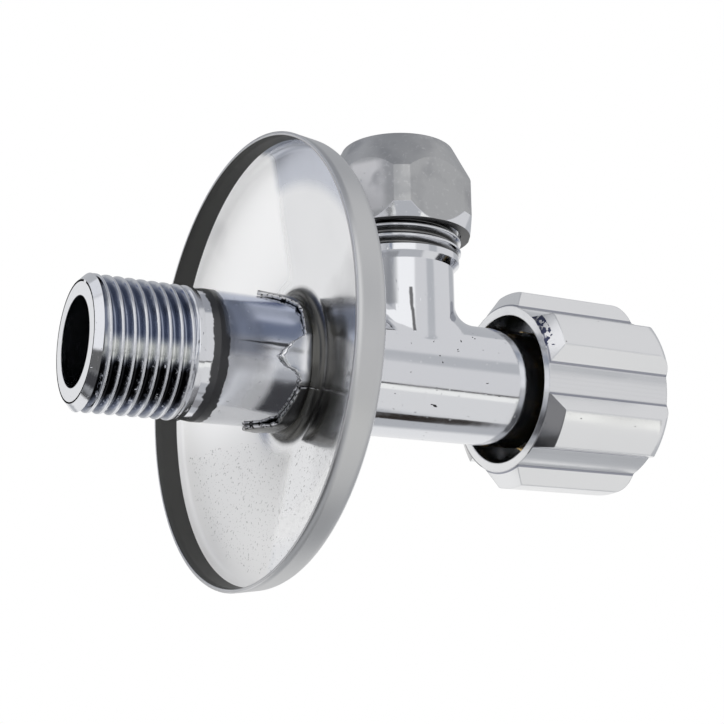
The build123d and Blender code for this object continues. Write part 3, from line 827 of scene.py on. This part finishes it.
def give_normals_back(mesh):
    """Use the remembered corner normals; corners without one keep Blender's own."""
    kept = mesh.attributes["kept_normal"]
    mesh.normals_split_custom_set([tuple(item.vector) for item in kept.data])
    mesh.attributes.remove(mesh.attributes["kept_normal"])


bm = kept_normals(nodes["valve_body"].data)
say("faces of the merged body", len(bm.faces))

# %% Faces of the plain threads come off
NEAR = 0.02 * MM
LAND_R = 10.1 * MM
STUB_R = 10.1 * MM


def close_to(value, target):
    """True where two lengths are the same but for the CAD mesh's rounding."""
    return abs(value - target) < NEAR


def on_inlet_thread(v):
    """True on the inlet's thread cylinder, its nose cone and the land's end face."""
    x, r = v.co.x, radius(v)
    on_nose = x < INLET_FACE + NEAR and close_to(r, NOSE_R)
    on_end = x > LAND_END - NEAR and close_to(r, LAND_R)
    return x < LAND_END + NEAR and (close_to(r, CREST_R) or on_nose or on_end)


def on_outlet_thread(v):
    """True on the outlet's thread cylinder, its end bevel and the shoulder under it."""
    z, r = v.co.z, math.hypot(v.co.x - OUTLET_X, v.co.y)
    on_bevel = z > OUTLET_TOP - NEAR and close_to(r, OUTLET_NOSE_R)
    on_shoulder = z < OUTLET_FOOT + NEAR and close_to(r, STUB_R)
    return z >= OUTLET_FOOT - NEAR and (close_to(r, CREST_R) or on_bevel or on_shoulder)


for on_thread in (on_inlet_thread, on_outlet_thread):
    gone = [f for f in bm.faces if all(on_thread(v) for v in f.verts)]
    bmesh.ops.delete(bm, geom=gone, context="FACES")
    say("thread faces taken off", len(gone))

# %% Room for the sleeves


def shrink(verts, centre, axis):
    """Bring a ring of vertices in to the sleeve's wall radius about an axis."""
    for v in verts:
        off = v.co - centre
        off -= axis * off.dot(axis)
        v.co += off.normalized() * (THREAD_WALL_R - off.length)


def close_room(bm, rim, centre, axis, outer_end):
    """Close a thread's room: its outer ring moves in, its inner one gets a wall, and both are bridged."""
    far = {v for e in rim for v in e.verts if close_to((v.co - centre).dot(axis), outer_end)}
    shrink(far, centre, axis)
    outer = [e for e in rim if e.verts[0] in far]
    inner = [e for e in rim if e.verts[0] not in far]
    wall = bmesh.ops.extrude_edge_only(bm, edges=inner)["geom"]
    shrink(of_kind(wall, bmesh.types.BMVert), centre, axis)
    bmesh.ops.bridge_loops(bm, edges=outer + open_edges(wall))


rims = [e for e in bm.edges if e.is_boundary]
inlet_rim = [e for e in rims if all(v.co.x < LAND_END + NEAR for v in e.verts)]
outlet_rim = [e for e in rims if e not in set(inlet_rim)]
say("open edges at the inlet and the outlet", (len(inlet_rim), len(outlet_rim)))
close_room(bm, inlet_rim, Vector(), Vector(FORWARD), INLET_FACE)
close_room(bm, outlet_rim, Vector((OUTLET_X, 0, 0)), Vector(UP), OUTLET_TOP)
say("body edges left open", sum(e.is_boundary for e in bm.edges))
body_piece = finished_piece("body_with_branch", bm, polished, "valve", smooth_angle=30)
give_normals_back(body_piece.data)
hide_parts("valve_body")

# %% [markdown]
# # The rosette
# The rosette is one pressed sheet: skirt, rounded corner, shallow dome, and a collar that the
# tube has torn open into petals when it was pushed on. The sheet's middle line is spun round
# the tube, the last ring of vertices is drawn out to the torn edge, and Solidify gives
# the thickness. The tear is uneven, so its reach is given at the few angles where it turns.

# %% Middle line of the sheet
SHEET = 0.6 * MM
HALF_SHEET = SHEET / 2
RIM_X = 11.2 * MM
RIM_R = 36.3 * MM
CORNER_X = 16.5 * MM
CORNER_R = 35.7 * MM
DOME_X = 20.8 * MM
FOLD_X = 18.3 * MM
COLLAR_R = 10.45 * MM + HALF_SHEET
ROUNDS = (1.7 * MM, 2.0 * MM)
LONGEST_RUN = 1.6 * MM


def rounded(points, rounds, steps=8):
    """Points of a line in (x, r) with its inner corners replaced by arcs."""
    line = [points[0]]
    for before, corner, after, size in zip(points, points[1:], points[2:], rounds):
        a, b = (before - corner).normalized(), (after - corner).normalized()
        half = a.angle(b) / 2
        reach_back = size / math.tan(half)
        centre = corner + (a + b).normalized() * (size / math.sin(half))
        first, last = corner + a * reach_back - centre, corner + b * reach_back - centre
        for k in range(steps + 1):
            way = first.slerp(last, k / steps)
            line.append(centre + way.normalized() * size)
    line.append(points[-1])
    return line


def stretched(line, longest):
    """The same line with extra points, so that no run is longer than given."""
    out = [line[0]]
    for a, b in zip(line, line[1:]):
        count = max(1, math.ceil((b - a).length / longest))
        out += [a.lerp(b, k / count) for k in range(1, count + 1)]
    return out


rim = Vector((RIM_X, RIM_R - HALF_SHEET))
corner = Vector((CORNER_X - HALF_SHEET, CORNER_R - HALF_SHEET))
dome_foot = Vector((DOME_X - HALF_SHEET, COLLAR_R))
fold = Vector((FOLD_X, COLLAR_R))
middle = stretched(rounded((rim, corner, dome_foot, fold), ROUNDS), LONGEST_RUN)
say("points of the sheet's middle line", len(middle))

# %% Torn edge of the collar
# angle from +Y towards +Z in degrees, and where the edge lies along the tube in mm
TORN_EDGE = (
    (0, 12.9), (12, 15.2), (30, 16.9), (60, 17.3), (88, 16.6), (98, 14.6), (108, 12.1), (113, 11.9),
    (118, 13.6), (124, 15.9), (132, 17.0), (149, 17.1), (167, 17.0), (171, 15.9), (175, 14.8),
    (180, 13.8), (184, 13.1), (188, 12.7), (192, 13.1), (196, 14.0), (198, 15.0), (202, 16.0),
    (207, 16.5), (215, 16.4), (222, 16.1), (230, 15.9), (240, 15.6), (250, 15.3), (257, 14.2),
    (262, 12.8), (266, 11.5), (272, 11.3), (279, 12.6), (286, 15.2), (300, 17.0), (330, 17.2),
    (350, 14.6), (360, 12.9),
)
# how often a tooth comes round the collar, and its height in mm
WIDE_TEETH = (9, 0.3)
FINE_TEETH = (37, 0.42)


def angle_of(place):
    """Angle of a place round the X axis in degrees, from +Y towards +Z."""
    return math.degrees(math.atan2(place.z, place.y))


def torn_reach(angle):
    """Where the torn edge lies along the tube at an angle in degrees; its teeth grow where it is steep."""
    angle %= 360
    for (a, x), (b, y) in zip(TORN_EDGE, TORN_EDGE[1:]):
        if a <= angle <= b:
            share = (angle - a) / (b - a)
            steep = abs(y - x) / (b - a)
            break
    around = Vector((math.cos(math.radians(angle)), math.sin(math.radians(angle)), 0))
    teeth = noise.noise(around * WIDE_TEETH[0]) * WIDE_TEETH[1]
    teeth += noise.noise(around * FINE_TEETH[0]) * FINE_TEETH[1] * min(1.0, 0.4 + 4 * steep)
    return (x + (y - x) * share + teeth) * MM


say("longest petal ends at x in mm", round(min(torn_reach(angle) for angle in range(360)) / MM, 1))

# %% Sheet with its collar
SECTORS = 360
COLLAR_RINGS = 7
TIP_LIFT = 0.07
CURL = 0.55

bm = bmesh.new()
verts = [bm.verts.new((p.x, p.y, 0)) for p in middle]
line = [bm.edges.new(pair) for pair in zip(verts, verts[1:])]
bmesh.ops.spin(
    bm, geom=verts + line, cent=(0, 0, 0), axis=(1, 0, 0), angle=2 * math.pi, steps=SECTORS, use_merge=True,
)
edge = [e for e in bm.edges if e.is_boundary and all(abs(radius(v) - COLLAR_R) < 0.01 * MM for v in e.verts)]
say("edges round the collar", len(edge))
fold_x = middle[-1].x
for step in range(1, COLLAR_RINGS + 1):
    made = bmesh.ops.extrude_edge_only(bm, edges=edge)["geom"]
    share = step / COLLAR_RINGS
    for v in of_kind(made, bmesh.types.BMVert):
        angle = angle_of(v.co)
        v.co.x = fold_x + (torn_reach(angle) - fold_x) * share
        curl = max(0.0, noise.noise(Vector((angle * 0.09, 3.1, 0)))) * CURL * share ** 2
        set_radius(v, COLLAR_R + (TIP_LIFT * share + curl) * MM)
    edge = open_edges(made)

# %% [markdown]
# The collar has burst along one line as well. Its edges there are split, one side is turned a
# little away from the other and lifted, and both close up again where the slit ends. At last the
# whole dish leans a little on its tube, as the one in the picture does, while the collar stays.

# %% Slit and lean
SLIT_ANGLE = 211
SLIT_NEAR = 0.3
SLIT_END = 20.0 * MM
SLIT_TOP_R = 12.6 * MM
SLIT_OPENING = 0.03
SHEET_LEAN = Vector((0, -0.033, 0.011))
LEAN_FROM = 11.5
LEAN_OVER = 6


def in_slit(v):
    """True on the line along which the collar has burst."""
    off = abs(angle_of(v.co) % 360 - SLIT_ANGLE)
    return off < SLIT_NEAR and v.co.x < SLIT_END and radius(v) < SLIT_TOP_R


slit = [e for e in bm.edges if all(in_slit(v) for v in e.verts)]
say("edges of the slit", len(slit))
bmesh.ops.split_edges(bm, edges=slit)
for v in (v for v in bm.verts if v.is_boundary and in_slit(v)):
    is_lower = any(angle_of(f.calc_center_median()) % 360 > SLIT_ANGLE for f in v.link_faces)
    width = (SLIT_END - v.co.x) * SLIT_OPENING
    v.co += Vector((0, -v.co.z, v.co.y)).normalized() * (width if is_lower else -width)
    if is_lower:
        set_radius(v, radius(v) + width)
for v in bm.verts:
    v.co.x += v.co.dot(SHEET_LEAN) * eased((radius(v) / MM - LEAN_FROM) / LEAN_OVER)
bmesh.ops.recalc_face_normals(bm, faces=bm.faces)

# %% Rosette as a piece
rosette = finished_piece("rosette_sheet", bm, sheet, "rosette", smooth_angle=50)
rosette.data.materials.append(torn)
wall = rosette.modifiers.new("sheet_thickness", "SOLIDIFY")
wall.thickness = SHEET
wall.offset = 0
wall.material_offset_rim = 1
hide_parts("wall_rosette")

# %% [markdown]
# # Sizes
# The dressed valve has to stay as large as its CAD solids. Both boxes are printed, the CAD box
# at the start and the dressed box here.

# %% Sizes
low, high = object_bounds()
say("dressed box in mm", [round(v / MM, 1) for v in (*low, *high)])
